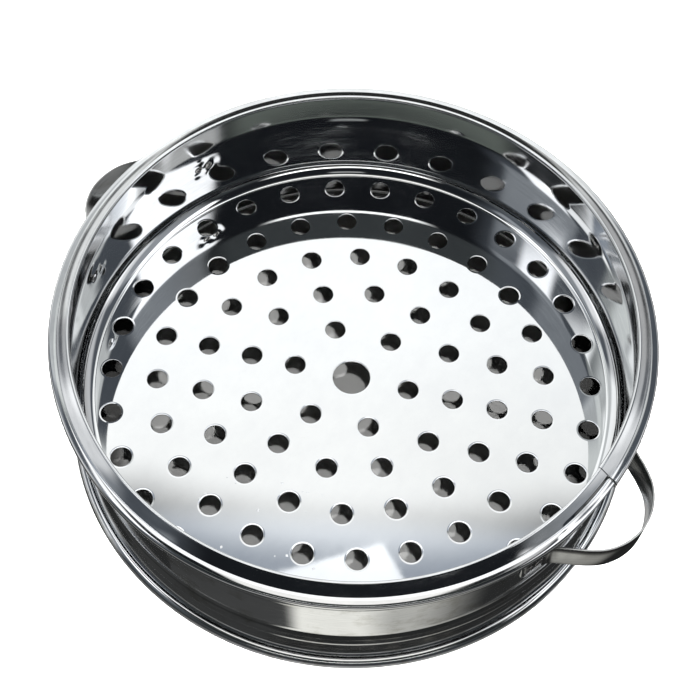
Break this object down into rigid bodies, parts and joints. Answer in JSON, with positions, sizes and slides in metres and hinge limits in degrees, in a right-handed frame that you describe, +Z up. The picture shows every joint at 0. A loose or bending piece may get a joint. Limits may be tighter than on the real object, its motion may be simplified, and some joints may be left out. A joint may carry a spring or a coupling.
{
  "type": "steamer tier",
  "caption": "Round stainless steel steamer tier: rolled sheet wall with a perforated tray, rolled rim and base, and welded strip handles. Stacks on a pot to steam food.",
  "frame": {"origin": "centre of the tier, on the plane that its base roll stands on", "axes": "+Z up through the open mouth, +X to the handle on the wall's seam, -X to the other handle"},
  "size_m": [0.311, 0.2754, 0.083],
  "materials": {
    "wall_steel": "polished stainless steel sheet, mirror inside, faint drawing lines outside",
    "tray_steel": "mirror polished stainless steel plate with punched holes",
    "handle_steel": "polished stainless steel strip",
    "weld_steel": "spot weld mark, dimpled and slightly dull"
  },
  "bodies": {
    "root": {"side_wall": "wall_steel", "perforated_tray": "tray_steel", "handle_right": "handle_steel", "handle_left": "handle_steel", "spot_weld_right_front_1": "weld_steel", "spot_weld_right_front_2": "weld_steel", "spot_weld_right_rear_1": "weld_steel", "spot_weld_right_rear_2": "weld_steel", "spot_weld_left_front_1": "weld_steel", "spot_weld_left_front_2": "weld_steel", "spot_weld_left_rear_1": "weld_steel", "spot_weld_left_rear_2": "weld_steel"}
  },
  "joints": []
}
